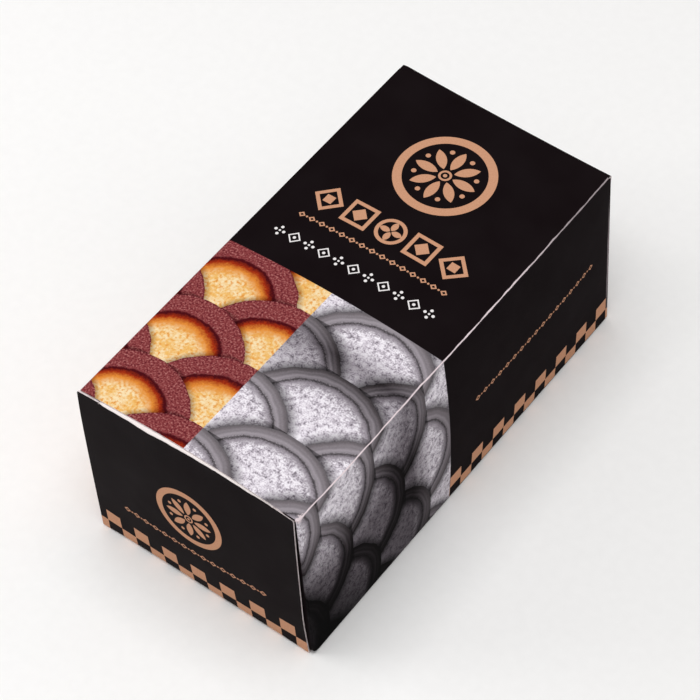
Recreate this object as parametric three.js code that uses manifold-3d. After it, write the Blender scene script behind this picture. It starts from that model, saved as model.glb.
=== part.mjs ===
// A shut folding carton for a small sponge cake: one blank of printed board, folded into a sleeve
// and closed at both ends by a tucked panel. It can't be seen into, so it is one solid.
//
// Millimetres, +Z up. The origin is the middle of the bottom, and the front end faces -Y.
// The front closing panel hinges on the bottom and tucks in under the top panel.
// The back one hinges on the top and tucks in over the bottom panel.

import * as THREE from 'three';
import Module from 'manifold-3d';

// Driving dimensions
const LENGTH = 130;
const WIDTH = 66;
const HEIGHT = 57.5;
const BOARD = 0.4;
const FOLD_RADIUS = 0.7;

// How far the filled panels swell between their folds
const FRONT_EDGE_BOW = 2.2;
const TOP_CROWN = 0.8;
const SIDE_SWELL = 1.3;
const END_SWELL = 1.5;

// The closing panels
const CLOSURE_INSET = 0.5;
const LIP_SETBACK = 0.8;
const LIP_SETBACK_AT_CORNER = 0.15;
const SHOULDER_DROP = 0.25;
const NOTCH_LENGTH = 2.4;
const NOTCH_HEIGHT = 2.0;
const NOTCH_DEPTH = 0.9;

// How finely the curved faces are divided
const STATIONS = 20;
const SIDE_STEPS = 8;
const TOP_STEPS = 14;
const END_RINGS = 8;
const ARC_STEPS = 3;

const HALF_L = LENGTH / 2;
const HALF_W = WIDTH / 2;
const HALF_H = HEIGHT / 2;
// How far a cutter reaches past the board
const PAST = 4;

// The colour of the black ink on coated board
const INK_BLACK = 0x1b1517;
const INK_ROUGHNESS = 0.5;

const wasm = await Module();
wasm.setup();

// A parabola that is 1 in the middle of a span and 0 at its ends
function hump(position, half) {
  const share = position / half;
  return Math.max(0, 1 - share * share);
}

// How high the top panel stands over its folds: held down at the back, free at its front edge
function topRise(x, y) {
  const towardsFront = (1 - y / HALF_L) / 2;
  return hump(x, HALF_W) * (FRONT_EDGE_BOW * towardsFront + TOP_CROWN * hump(y, HALF_L));
}

function sideSwell(y, z) {
  return SIDE_SWELL * hump(y, HALF_L) * hump(z - HALF_H, HALF_H);
}

function endSwell(x, z) {
  return END_SWELL * hump(x, HALF_W) * hump(z - HALF_H, HALF_H);
}

// The two ends are drawn as the front one. The back one is that turned half round, about the
// carton's middle line across its width, so that its hinge comes on top.
const FRONT = {
  place: ([x, y, z]) => [x, y, z],
  rise: (x) => topRise(x, -HALF_L),
};
const BACK = {
  place: ([x, y, z]) => [x, -y, HEIGHT - z],
  rise: () => 0,
};

function steps(from, to, count) {
  return Array.from({ length: count + 1 }, (_, i) => from + ((to - from) * i) / count);
}

// Points of a quarter circle, from one angle to another, counted in quarter turns
function quarter(centreA, centreB, fromTurn, toTurn) {
  return steps(fromTurn, toTurn, ARC_STEPS).map((turn) => {
    const angle = (turn * Math.PI) / 2;
    return [centreA + FOLD_RADIUS * Math.cos(angle), centreB + FOLD_RADIUS * Math.sin(angle)];
  });
}

// A closed solid through rings of equal length. The last point of a ring sees all its others.
function loft(rings) {
  const size = rings[0].length;
  const faces = [];
  for (let ring = 0; ring + 1 < rings.length; ring += 1) {
    for (let i = 0; i < size; i += 1) {
      const here = ring * size + i;
      const next = ring * size + ((i + 1) % size);
      faces.push([here, next, next + size], [here, next + size, here + size]);
    }
  }
  const top = (rings.length - 1) * size;
  for (let i = 0; i + 2 < size; i += 1) {
    faces.push([size - 1, i + 1, i], [top + size - 1, top + i, top + i + 1]);
  }
  const points = rings.flat();
  const outward = enclosedVolume(points, faces) > 0 ? faces : faces.map(([a, b, c]) => [a, c, b]);
  const mesh = new wasm.Mesh({
    numProp: 3,
    vertProperties: new Float32Array(points.flat()),
    triVerts: new Uint32Array(outward.flat()),
  });
  return new wasm.Manifold(mesh);
}

// Positive where the faces point out
function enclosedVolume(points, faces) {
  const [a, b, c] = [new THREE.Vector3(), new THREE.Vector3(), new THREE.Vector3()];
  return faces.reduce((sum, [i, j, k]) => {
    a.fromArray(points[i]);
    b.fromArray(points[j]);
    c.fromArray(points[k]);
    return sum + a.dot(b.cross(c)) / 6;
  }, 0);
}

// The sleeve's outline at one place along its length
function sleeveRing(y) {
  const low = FOLD_RADIUS;
  const high = HEIGHT - FOLD_RADIUS;
  const wide = HALF_W - FOLD_RADIUS;
  const inner = (from, to, count) => steps(from, to, count).slice(1, -1);
  const outline = [
    ...quarter(wide, low, -1, 0),
    ...inner(low, high, SIDE_STEPS).map((z) => [HALF_W + sideSwell(y, z), z]),
    ...quarter(wide, high, 0, 1),
    ...inner(wide, -wide, TOP_STEPS).map((x) => [x, HEIGHT + topRise(x, y)]),
    ...quarter(-wide, high, 1, 2),
    ...inner(high, low, SIDE_STEPS).map((z) => [-HALF_W - sideSwell(y, z), z]),
    ...quarter(-wide, low, 2, 3),
  ];
  return outline.map(([x, z]) => [x, y, z]);
}

// The sleeve's outline drawn in towards the middle of one end, where the closing panel swells
function endRing(way, share) {
  return sleeveRing(way * HALF_L).map(([x, y, z]) => {
    const [nearX, nearZ] = [x * share, HALF_H + (z - HALF_H) * share];
    return [nearX, y + way * endSwell(nearX, nearZ), nearZ];
  });
}

function filledSleeve() {
  const shares = steps(0, 1, END_RINGS).slice(1, -1);
  const front = shares.map((share) => endRing(-1, share));
  const back = shares.map((share) => endRing(1, share)).reverse();
  return loft([...front, ...steps(-HALF_L, HALF_L, STATIONS).map(sleeveRing), ...back]);
}

// A cutter that runs across an end, with its section given for each place across
function crossCutter(end, wide, section) {
  const rings = steps(-wide, wide, TOP_STEPS).map((x) =>
    section(x).map(([y, z]) => end.place([x, y, z])),
  );
  return loft(rings);
}

// Rounds the fold that the closing panel hinges on
function hingeFold(end) {
  const section = [
    ...quarter(FOLD_RADIUS - HALF_L, FOLD_RADIUS, 2, 3),
    [FOLD_RADIUS - HALF_L, -PAST],
    [-HALF_L - PAST, FOLD_RADIUS],
  ];
  return crossCutter(end, HALF_W + PAST, () => section);
}

// Rounds the fold of the tuck flap, just under the free edge of the panel over it
function tuckFold(end) {
  return crossCutter(end, HALF_W + PAST, (x) => {
    const under = HEIGHT - BOARD + end.rise(x);
    const corner = quarter(FOLD_RADIUS - HALF_L, under - FOLD_RADIUS, 2, 1);
    return [[-HALF_L - PAST, under - FOLD_RADIUS], ...corner, [-HALF_L - PAST, under]];
  });
}

// Sets that free edge back from the closing panel's face
function lipTrim(end) {
  return crossCutter(end, HALF_W + PAST, (x) => {
    const under = HEIGHT - BOARD + end.rise(x);
    const middle = (LIP_SETBACK - LIP_SETBACK_AT_CORNER) * hump(x, HALF_W);
    const edge = LIP_SETBACK_AT_CORNER + middle - HALF_L;
    const [low, high] = [under - SHOULDER_DROP / 2, under + PAST];
    return [[edge, high], [edge, low], [-HALF_L - PAST, low], [-HALF_L - PAST, high]];
  });
}

// A cutter at one side of an end, with its outline in X and Y
function sideCutter(end, side, low, high, outline) {
  const ring = (z) => outline.map(([x, y]) => end.place([side * x, y, z]));
  return loft([ring(low), ring(high)]);
}

// The step at the closing panel's side edge, beside the dust flap's rounded fold
function sideStep(end, side) {
  const flap = BOARD - HALF_L;
  const edge = HALF_W - CLOSURE_INSET;
  return sideCutter(end, side, -PAST, HEIGHT - BOARD - SHOULDER_DROP, [
    ...quarter(HALF_W - FOLD_RADIUS, flap + FOLD_RADIUS, 0, -1).filter(([x]) => x > edge),
    [edge, flap],
    [edge, flap - PAST],
    [HALF_W + PAST, flap - PAST],
    [HALF_W + PAST, flap + FOLD_RADIUS],
  ]);
}

// The relief notch where the dust flap's fold meets the hinge
function cornerNotch(end, side) {
  const section = [
    [-HALF_L, NOTCH_HEIGHT],
    [NOTCH_LENGTH - HALF_L, 0],
    [NOTCH_LENGTH - HALF_L, -PAST],
    [-HALF_L - PAST, -PAST],
    [-HALF_L - PAST, NOTCH_HEIGHT],
  ];
  const ring = (x) => section.map(([y, z]) => end.place([side * x, y, z]));
  return loft([ring(HALF_W - NOTCH_DEPTH), ring(HALF_W + PAST)]);
}

function cartonSolid() {
  const cutters = [FRONT, BACK].flatMap((end) => [
    hingeFold(end),
    tuckFold(end),
    lipTrim(end),
    ...[-1, 1].flatMap((side) => [sideStep(end, side), cornerNotch(end, side)]),
  ]);
  return cutters.reduce((solid, cutter) => solid.subtract(cutter), filledSleeve());
}

function geometryOf(solid) {
  const { numProp, vertProperties, triVerts } = solid.getMesh();
  const geometry = new THREE.BufferGeometry();
  geometry.setAttribute('position', new THREE.BufferAttribute(vertProperties, numProp));
  geometry.setIndex(new THREE.BufferAttribute(triVerts, 1));
  geometry.computeVertexNormals();
  return geometry;
}

const printedBoard = new THREE.MeshStandardMaterial({
  color: INK_BLACK,
  roughness: INK_ROUGHNESS,
  metalness: 0,
});

const carton = new THREE.Mesh(geometryOf(cartonSolid()), printedBoard);
carton.name = 'carton';

const group = new THREE.Group();
group.add(carton);

export default group;
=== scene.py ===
"""A shut folding carton of a small sponge cake: its folded board, its print and its worn folds, with a
painted highlight along each side's rear fold and painted shade on the front dust flaps.

Shapes are drawn in millimetres on the flat blank and then folded. The front end faces -Y, +Z is up,
and the origin is the middle of the bottom. Each panel is a closed sheet of board with a printed face,
a bare back and cut edges.
"""

import logging
import math
from dataclasses import dataclass
from enum import Enum, IntEnum
from functools import partial, reduce
from typing import Callable, Optional, Sequence, Union

import bpy
import numpy as np
from mathutils import Matrix, Vector


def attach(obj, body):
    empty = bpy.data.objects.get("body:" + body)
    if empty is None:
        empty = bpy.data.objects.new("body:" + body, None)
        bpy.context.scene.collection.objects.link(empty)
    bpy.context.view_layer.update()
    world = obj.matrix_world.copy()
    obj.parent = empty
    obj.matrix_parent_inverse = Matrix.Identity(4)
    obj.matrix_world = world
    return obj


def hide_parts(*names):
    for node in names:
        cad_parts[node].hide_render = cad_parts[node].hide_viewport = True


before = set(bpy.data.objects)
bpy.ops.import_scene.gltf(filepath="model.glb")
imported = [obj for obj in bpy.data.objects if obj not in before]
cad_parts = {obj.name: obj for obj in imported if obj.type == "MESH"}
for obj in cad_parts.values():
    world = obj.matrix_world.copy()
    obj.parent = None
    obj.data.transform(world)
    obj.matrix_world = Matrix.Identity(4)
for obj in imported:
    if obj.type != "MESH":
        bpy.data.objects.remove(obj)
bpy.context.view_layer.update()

MM = 0.001
LOG = logging.getLogger("cake_carton")
CAD_NODE = "carton"
BODY = "root"

# The carton at its folds
LENGTH = 130.0
WIDTH = 66.0
HEIGHT = 57.5

# The length of a quarter circle of radius 1
QUARTER_ARC = math.pi / 2

# The mesh attribute that holds where each point lies on the flat blank
BLANK = "blank"

Surface = Callable[[np.ndarray, np.ndarray], np.ndarray]
Colour = tuple[float, float, float]


class Side(Enum):
    """The two long sides, by the way they face along X."""

    LEFT = -1
    RIGHT = 1


class End(Enum):
    """The two ends, by the way they face along Y."""

    FRONT = -1
    BACK = 1


def srgb(code: str) -> Colour:
    """Turns a display colour into the linear one that shaders take.

    Args:
        code: Six hexadecimal digits.

    Returns:
        Red, green and blue from 0 to 1.
    """
    shares = [int(code[i : i + 2], 16) / 255 for i in (0, 2, 4)]
    return tuple(s / 12.92 if s <= 0.04045 else ((s + 0.055) / 1.055) ** 2.4 for s in shares)


def hump(position: np.ndarray, half: float, power: float = 2.0) -> np.ndarray:
    """Gives a hill that is 1 in the middle of a span and 0 at its ends.

    Args:
        position: Distance from the middle.
        half: Half the span.
        power: How flat the top is.

    Returns:
        The height of the hill, never below 0.
    """
    return np.clip(1 - np.abs(np.asarray(position) / half) ** power, 0, None)


def ease(value: np.ndarray, start: float, end: float) -> np.ndarray:
    """Gives a smooth step.

    Args:
        value: Where to read it.
        start: Where it leaves 0.
        end: Where it reaches 1.

    Returns:
        The height of the step.
    """
    share = np.clip((np.asarray(value) - start) / (end - start), 0, 1)
    return share * share * (3 - 2 * share)


def through(points: Sequence[tuple[float, float]], value: np.ndarray) -> np.ndarray:
    """Reads a smooth curve that runs level through a few points.

    Args:
        points: Places and heights, in rising order of place.
        value: Where to read it.

    Returns:
        The height of the curve.
    """
    height = np.full_like(np.asarray(value, float), points[0][1])
    for (start, before), (end, after) in zip(points, points[1:]):
        height = height + (after - before) * ease(value, start, end)
    return height


def stack(x: np.ndarray, y: np.ndarray, z: np.ndarray) -> np.ndarray:
    """Joins three arrays of coordinates into one array of points."""
    return np.stack(np.broadcast_arrays(x, y, z), axis=-1).astype(float)


def paired(first: np.ndarray, second: np.ndarray) -> tuple[np.ndarray, np.ndarray]:
    """Spreads two lots of places to one shape."""
    return np.broadcast_arrays(np.asarray(first, float), np.asarray(second, float))


def bend(before: np.ndarray, corner: np.ndarray, after: np.ndarray, share: np.ndarray) -> np.ndarray:
    """Rounds a corner.

    Args:
        before: Points where the rounding starts.
        corner: The sharp corner's points.
        after: Points where it ends.
        share: How far along the rounding, from 0 to 1.

    Returns:
        Points on the rounded corner.
    """
    t = np.asarray(share)[..., None]
    return (1 - t) ** 2 * before + 2 * t * (1 - t) * corner + t**2 * after


@dataclass(frozen=True)
class Crease:
    """How a long top fold strays from a straight line, halfway along and near the front, in millimetres."""

    out: float
    out_at_ends: float
    sag: float
    front_out: float = 0.0
    front_reach: tuple[float, float] = (50.0, 16.0)


@dataclass(frozen=True)
class CartonForm:
    """The outer faces of the filled sleeve, in millimetres.

    A place on it is given by how far it lies around, from the left top fold over the top and down the
    right side, and how far along, from the front. Places down the left side are negative.
    """

    length: float = LENGTH
    width: float = WIDTH
    height: float = HEIGHT
    board: float = 0.4
    fold: float = 0.7
    front_edge_bow: float = 2.2
    top_crown: float = 0.8
    side_swell: float = 1.3
    side_flatness: float = 4.0
    left_crease: Crease = Crease(out=0.05, out_at_ends=0.05, sag=0.1)
    right_crease: Crease = Crease(out=0.35, out_at_ends=0.0, sag=0.4, front_out=0.6)
    foot_flare: float = 1.35
    foot_flare_reach: float = 60.0
    flap_length: float = 9.0
    flap_fold: float = 0.45
    flap_inset: tuple[float, float] = (0.4, 0.05)

    def line(self, side: Side) -> float:
        """How far around a side's top fold lies."""
        return 0.0 if side is Side.LEFT else self.width

    def top_rise(self, x: np.ndarray, y: np.ndarray) -> np.ndarray:
        """Gives how high the top stands over its folds.

        Args:
            x: Places across.
            y: Places along, from the middle.

        Returns:
            The rise at each place.
        """
        forward = (1 - y / (self.length / 2)) / 2
        crown = self.top_crown * hump(y, self.length / 2)
        return hump(x, self.width / 2) * (self.front_edge_bow * forward + crown)

    def crest(self, side: Side, y: np.ndarray) -> np.ndarray:
        """Gives the sharp line of a long top fold.

        Args:
            side: Whose fold.
            y: Places along, from the middle.

        Returns:
            Its points.
        """
        crease = self.left_crease if side is Side.LEFT else self.right_crease
        bow = hump(y, self.length / 2)
        out = crease.out_at_ends + (crease.out - crease.out_at_ends) * bow
        out = out + crease.front_out * ease(y + self.length / 2, *crease.front_reach)
        return stack(side.value * (self.width / 2 + out), y, self.height - crease.sag * bow)

    def foot(self, side: Side, y: np.ndarray) -> np.ndarray:
        """Gives the sharp line of a long bottom fold, which springs out near the front on the right.

        Args:
            side: Whose fold.
            y: Places along, from the middle.

        Returns:
            Its points.
        """
        along = y + self.length / 2
        flare = self.foot_flare * np.exp(-along / self.foot_flare_reach) if side is Side.RIGHT else 0
        return stack(side.value * (self.width / 2 + flare), y, 0.0)

    def top(self, around: np.ndarray, along: np.ndarray) -> np.ndarray:
        """Gives points on the top panel.

        Args:
            around: Distances from its left fold.
            along: Distances from the front.

        Returns:
            The points.
        """
        y = along - self.length / 2
        share = (around / self.width)[..., None]
        flat = self.crest(Side.LEFT, y) * (1 - share) + self.crest(Side.RIGHT, y) * share
        flat[..., 2] += self.top_rise(around - self.width / 2, y)
        return flat

    def side(self, side: Side, down: np.ndarray, along: np.ndarray) -> np.ndarray:
        """Gives points on a side panel.

        Args:
            side: Which one.
            down: Distances from its top fold.
            along: Distances from the front.

        Returns:
            The points.
        """
        y = along - self.length / 2
        share = (down / self.height)[..., None]
        flat = self.crest(side, y) * (1 - share) + self.foot(side, y) * share
        swell = hump(y, self.length / 2, self.side_flatness) * hump(down - self.height / 2, self.height / 2)
        flat[..., 0] += side.value * self.side_swell * swell
        return flat

    def sleeve(self, around: np.ndarray, along: np.ndarray) -> np.ndarray:
        """Gives points on the top and both sides, with the two folds between them rounded.

        Args:
            around: Distances around.
            along: Distances from the front.

        Returns:
            The points.
        """
        around, along = paired(around, along)
        points = self.top(around, along)
        for side in Side:
            past = side.value * (around - self.line(side))
            wall = self.side(side, np.maximum(past, 0), along)
            points = np.where((past > 0)[..., None], wall, points)
            before = self.top(np.full_like(around, self.line(side) - side.value * self.fold), along)
            after = self.side(side, np.full_like(around, self.fold), along)
            corner = self.crest(side, along - self.length / 2)
            rounded = bend(before, corner, after, (past + self.fold) / (2 * self.fold))
            points = np.where((np.abs(past) < self.fold)[..., None], rounded, points)
        return points

    def wall(self, side: Side, down: np.ndarray, along: np.ndarray) -> np.ndarray:
        """Gives points on a side and on the dust flaps that are folded in at its ends.

        Args:
            side: Which side.
            down: Distances from its top fold.
            along: Distances from the front, below 0 or past the length on the flaps.

        Returns:
            The points.
        """
        down, along = paired(down, along)
        way = np.sign(along - self.length / 2)
        inset = np.where(way < 0, *self.flap_inset)
        past = inset - (self.length / 2 - np.abs(along - self.length / 2))
        near = inset + self.flap_fold
        panel = self.sleeve(self.line(side) + side.value * down, np.clip(along, near, self.length - near))
        corner = panel.copy()
        corner[..., 1] = way * (self.length / 2 - inset)
        inward = stack(-side.value, 0.0, 0.0)
        rounded = bend(
            panel, corner, corner + inward * self.flap_fold, (past + self.flap_fold) / (2 * self.flap_fold)
        )
        flap = corner + inward * past[..., None]
        points = np.where((past > -self.flap_fold)[..., None], rounded, panel)
        return np.where((past > self.flap_fold)[..., None], flap, points)

    def wall_blank(self, side: Side, down: np.ndarray, along: np.ndarray) -> np.ndarray:
        """Gives where a side lies on the blank."""
        return stack(self.line(side) + side.value * down, along, 0.0)

    def bottom(self, across: np.ndarray, along: np.ndarray) -> np.ndarray:
        """Gives points on the bottom and on the glue flap turned up inside the left side.

        Args:
            across: Distances from the right bottom fold.
            along: Distances from the front.

        Returns:
            The points.
        """
        across, along = paired(across, along)
        y = along - self.length / 2
        right, left = self.foot(Side.RIGHT, y), self.foot(Side.LEFT, y)
        left[..., 0] += self.board
        reach = self.width - self.board
        share = (across / reach)[..., None]
        points = right * (1 - share) + left * share
        start = self.side(Side.RIGHT, np.full_like(across, self.height - self.fold), along)
        after = right + (left - right) * self.fold / reach
        rounded = bend(start, right, after, (across + self.fold) / (2 * self.fold))
        points = np.where((across < self.fold)[..., None], rounded, points)
        upward = stack(0.0, 0.0, 1.0)
        before = right + (left - right) * (reach - self.fold) / reach
        turned = bend(
            before, left, left + upward * self.fold, (across - reach + self.fold) / (2 * self.fold)
        )
        points = np.where((across > reach - self.fold)[..., None], turned, points)
        flap = left + upward * (across - reach)[..., None]
        return np.where((across > reach + self.fold)[..., None], flap, points)


class Part(IntEnum):
    """The parts of a closing panel's strip, by where each starts along it."""

    HINGE_FLAT = 0
    HINGE_FOLD = 1
    FACE = 2
    TUCK_FOLD = 3
    TUCK_FLAP = 4


@dataclass(frozen=True)
class EndForm:
    """The closing panel of one end, drawn as the front one, in millimetres.

    It is given by places across, from the left, and by places along its strip, where each part is 1
    long: at first flat beside the hinge, then over the hinge fold, the face and the tuck fold, and last
    down the tuck flap.
    """

    form: CartonForm
    end: End
    from_left: float = -0.4
    from_right: float = 0.5
    swell: float = 1.5
    shoulder: float = 6.5
    shoulder_lift: tuple[float, float] = (0.4, 0.0)
    tuck: float = 14.0
    hinge_flat: float = 0.4
    hinge_round: float = 1.0
    hinge_flatness: float = 4.0
    hinge_skew: float = 0.0
    hinge_skew_power: float = 2.2
    hinge_corner: float = 0.0
    hinge_corner_reach: float = 1.8
    left_gape: float = 0.0
    left_gape_reach: float = 12.0
    left_gape_power: float = 0.75
    right_gape: float = 0.0
    right_gape_reach: float = 8.0
    right_gape_rise: tuple[float, float] = (6.0, 16.0)
    top_gape: Sequence[tuple[float, float]] = ((0.0, 0.1), (WIDTH, 0.1))
    top_gape_power: float = 6.0
    slack: float = 0.05

    def rise(self, x: np.ndarray, y: np.ndarray) -> np.ndarray:
        """Gives how far the panel over the tuck flap is bowed; the bottom one is flat.

        Args:
            x: Places across.
            y: Places along, from the middle.

        Returns:
            The rise at each place.
        """
        return self.form.top_rise(x, y) if self.end is End.FRONT else 0 * x

    def under(self, x: np.ndarray, y: np.ndarray) -> np.ndarray:
        """Gives the height of the tuck flap, just under the panel that holds it.

        Args:
            x: Places across.
            y: Places along, from the middle.

        Returns:
            The height at each place.
        """
        inside = np.maximum(y, -self.form.length / 2)
        return self.form.height - self.form.board - self.slack + self.rise(x, inside)

    def push(self, across: np.ndarray, z: np.ndarray) -> np.ndarray:
        """Gives how far the face stands out, from its filling and from gaping at its free edges.

        Args:
            across: Distances from the left.
            z: Heights.

        Returns:
            The distance at each place.
        """
        high = self.form.height
        filled = self.swell * hump(across - self.form.width / 2, self.form.width / 2)
        filled = filled * hump(z - high / 2, high / 2)
        raised = np.clip(z / high, 0, 1)
        from_right = np.maximum(self.form.width - across, 0)
        left = self.left_gape * np.exp(-np.maximum(across, 0) / self.left_gape_reach)
        right = self.right_gape * np.exp(-from_right / self.right_gape_reach)
        gape = left * raised**self.left_gape_power + right * ease(z, *self.right_gape_rise)
        return filled + gape + (through(self.top_gape, across) - gape) * raised**self.top_gape_power

    def radius(self, across: np.ndarray) -> np.ndarray:
        """Gives the reach of the hinge fold's rounding, which is wider away from its ends."""
        half = self.form.width / 2
        return self.form.fold + self.hinge_round * hump(across - half, half, self.hinge_flatness)

    def start(self, across: np.ndarray) -> np.ndarray:
        """Gives how far from the end the strip begins, just before the hinge fold's rounding."""
        return self.radius(across) + self.hinge_flat

    def base(self, across: np.ndarray, from_end: np.ndarray) -> np.ndarray:
        """Gives the height of the panel that the strip hangs from, which is 0 on the flat bottom.

        Args:
            across: Distances from the left.
            from_end: Distances from the end.

        Returns:
            The height, as for the front end.
        """
        if self.end is End.FRONT:
            return np.zeros_like(across)
        return self.form.height - self.form.top(across, self.form.length - from_end + 0 * across)[..., 2]

    def face(self, across: np.ndarray, z: np.ndarray) -> np.ndarray:
        """Gives points on the upright face.

        Args:
            across: Distances from the left.
            z: Heights.

        Returns:
            The points.
        """
        return stack(
            across - self.form.width / 2,
            -self.form.length / 2 - self.push(across, z) - self.skew(across),
            z,
        )

    def skew(self, across: np.ndarray) -> np.ndarray:
        """Gives how far the hinge strays outward towards its left end, whose corner is rounded."""
        strayed = self.hinge_skew * np.clip(1 - across / self.form.width, 0, 1) ** self.hinge_skew_power
        return strayed - self.hinge_corner * np.clip(1 - across / self.hinge_corner_reach, 0, 1) ** 2

    @staticmethod
    def _split(part: np.ndarray) -> tuple[np.ndarray, np.ndarray]:
        """Gives the part that each place is in, and how far along that part it lies."""
        which = np.clip(np.floor(part), Part.HINGE_FLAT, Part.TUCK_FLAP)
        return which, part - which

    def surface(self, across: np.ndarray, part: np.ndarray) -> np.ndarray:
        """Gives points on the strip.

        Args:
            across: Distances from the left.
            part: Places along the strip.

        Returns:
            The points, as for the front end.
        """
        across, part = paired(across, part)
        front = -self.form.length / 2
        x = across - self.form.width / 2
        radius, start = self.radius(across), self.start(across)
        hinge = stack(x, front - self.skew(across), self.base(across, 0.0))
        flat_start = stack(x, front + start, self.base(across, start))
        flat_end = stack(x, front - self.skew(across) + radius, self.base(across, radius))
        top = self.under(x, np.full_like(x, front))
        high = top - self.form.fold
        fold_start = self.face(across, high)
        corner = self.face(across, top)
        tuck_y = corner[..., 1] + self.form.fold
        tuck_start = stack(x, tuck_y, self.under(x, tuck_y))
        which, share = self._split(part)
        deep = tuck_y + (front + self.tuck - tuck_y) * share
        pieces = {
            Part.HINGE_FLAT: flat_start + (flat_end - flat_start) * share[..., None],
            Part.HINGE_FOLD: bend(flat_end, hinge, self.face(across, radius), share),
            Part.FACE: self.face(across, radius + (high - radius) * share),
            Part.TUCK_FOLD: bend(fold_start, corner, tuck_start, share),
            Part.TUCK_FLAP: stack(x, deep, self.under(x, deep)),
        }
        return np.select([(which == key)[..., None] for key in pieces], list(pieces.values()))

    def shoulder_surface(self, across: np.ndarray, part: np.ndarray) -> np.ndarray:
        """Gives points on a shoulder, which stands up past the slit instead of folding over.

        Args:
            across: Distances from the left.
            part: Places along the strip. Past the face they climb the fold's height in one part.

        Returns:
            The points, as for the front end.
        """
        across, part = paired(across, part)
        x = across - self.form.width / 2
        high = self.under(x, np.full_like(x, -self.form.length / 2)) - self.form.fold
        upright = self.face(across, high + (part - Part.TUCK_FOLD) * self.form.fold)
        return np.where((part > Part.TUCK_FOLD)[..., None], upright, self.surface(across, part))

    def shoulder_blank(self, across: np.ndarray, part: np.ndarray) -> np.ndarray:
        """Gives where a shoulder lies on the flat board, printed up to its cut edge.

        Args:
            across: Distances from the left.
            part: Places along the strip.

        Returns:
            Distance across, distance down the print, and a distance well before the tuck fold.
        """
        places = self.blank(across, np.minimum(part, float(Part.TUCK_FOLD)))
        places[..., 1] += self.end.value * np.maximum(part - Part.TUCK_FOLD, 0) * self.form.fold
        places[..., 2] = -self.form.height
        return places

    def placed(self, surface: Surface) -> Surface:
        """Turns the front end's surface half round for the back end.

        Args:
            surface: A surface drawn as for the front end.

        Returns:
            The surface where it belongs.
        """
        if self.end is End.FRONT:
            return surface
        turn = np.array([1.0, -1.0, -1.0])
        lift = np.array([0.0, 0.0, self.form.height])
        return lambda across, part: surface(across, part) * turn + lift

    def blank(self, across: np.ndarray, part: np.ndarray) -> np.ndarray:
        """Gives where the strip lies on the flat board.

        Args:
            across: Distances from the left.
            part: Places along the strip.

        Returns:
            Distance across, distance down the print, and distance past the tuck fold.
        """
        x = across - self.form.width / 2
        top = self.under(x, np.full_like(x, -self.form.length / 2))
        radius, fold = self.radius(across), self.form.fold
        which, share = self._split(part)
        lengths = {
            Part.HINGE_FLAT: self.hinge_flat * (share - 1) - (QUARTER_ARC - 1) * radius,
            Part.HINGE_FOLD: radius * (QUARTER_ARC * share - (QUARTER_ARC - 1)),
            Part.FACE: radius + (top - fold - radius) * share,
            Part.TUCK_FOLD: top - fold + QUARTER_ARC * fold * share,
            Part.TUCK_FLAP: top + (QUARTER_ARC - 1) * fold + self.tuck * share,
        }
        from_hinge = np.select([which == key for key in lengths], list(lengths.values()))
        down = self.form.height - from_hinge if self.end is End.FRONT else from_hinge
        return stack(across, down, from_hinge - top)


@dataclass(frozen=True)
class Patch:
    """A rectangle of a sheet, as a grid of places on a surface."""

    surface: Surface
    blank: Surface
    first: np.ndarray
    second: np.ndarray
    joints: Sequence[tuple[object, object]] = ()
    steps: tuple[float, float] = (0.02, 0.02)

    def joined(self) -> np.ndarray:
        """Marks the places where the board runs on into another sheet.

        Returns:
            True at those places.
        """
        marks = np.zeros(self.first.shape, bool)
        for rows, columns in self.joints:
            marks[rows, columns] = True
        return marks

    def normals(self) -> np.ndarray:
        """Works out the surface's normals from close neighbours.

        Returns:
            The normal at each of the grid's places, of length 1.
        """
        a, b = self.steps
        across = self.surface(self.first + a, self.second) - self.surface(self.first - a, self.second)
        along = self.surface(self.first, self.second + b) - self.surface(self.first, self.second - b)
        normal = np.cross(across, along)
        return normal / np.linalg.norm(normal, axis=-1, keepdims=True)


class Finish(IntEnum):
    """A sheet's finishes, in the order of its materials."""

    PRINTED = 0
    BARE = 1
    CUT = 2


# How many digits of a millimetre two points of a sheet share where they are one
WELD_DIGITS = 5


def cells(ids: np.ndarray) -> np.ndarray:
    """Lists the four corners of each cell of a grid of point numbers."""
    return np.stack([ids[:-1, :-1], ids[:-1, 1:], ids[1:, 1:], ids[1:, :-1]], axis=-1).reshape(-1, 4)


def keep_blank(mesh: bpy.types.Mesh, places: np.ndarray) -> None:
    """Gives a mesh the places of its points on the flat blank, by which its print is drawn."""
    store = mesh.attributes.new(BLANK, "FLOAT_VECTOR", "POINT")
    store.data.foreach_set("vector", places.astype(np.float32).ravel())


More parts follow.
